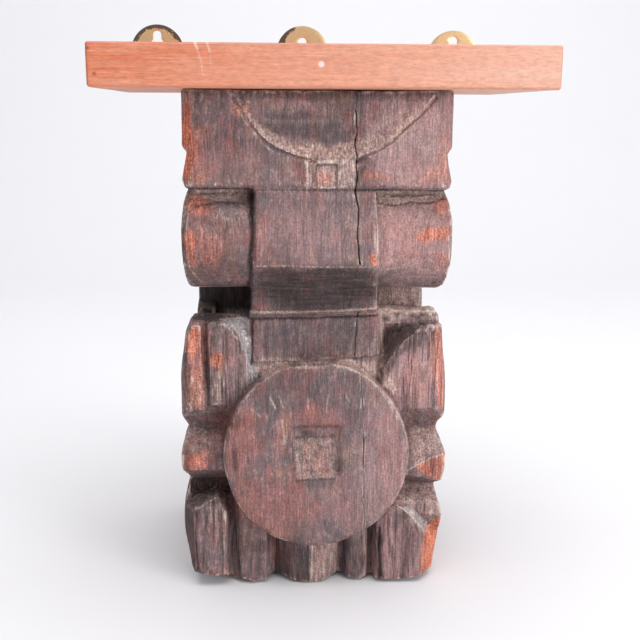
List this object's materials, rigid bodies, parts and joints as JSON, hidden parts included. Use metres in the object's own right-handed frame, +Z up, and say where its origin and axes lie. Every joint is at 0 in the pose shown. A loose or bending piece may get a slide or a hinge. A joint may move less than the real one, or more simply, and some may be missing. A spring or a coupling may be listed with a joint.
{
  "type": "carved temple corbel",
  "caption": "Carved hardwood temple corbel with rolls, lotus petals and a round boss, made into a wall bracket shelf with a plank top and brass hanging plates.",
  "frame": {"origin": "middle of the carved block's flat back, where it meets the wall, halfway up the block", "axes": "+Y into the wall and out of the flat back, -Y towards the front, +X to the viewer's right, +Z up"},
  "size_m": [0.305, 0.2, 0.4165],
  "materials": {
    "carved_wood": "dark aged hardwood with worn orange-red edges",
    "plank_wood": "planed and oiled reddish hardwood",
    "brass": "satin, tarnished at the rims"
  },
  "bodies": {
    "root": {"corbel_block": "carved_wood", "shelf_board": "plank_wood", "hanger_left": "brass", "hanger_middle": "brass", "hanger_right": "brass", "screw_left_1": "brass", "screw_left_2": "brass", "screw_middle_1": "brass", "screw_middle_2": "brass", "screw_right_1": "brass", "screw_right_2": "brass"}
  },
  "joints": []
}
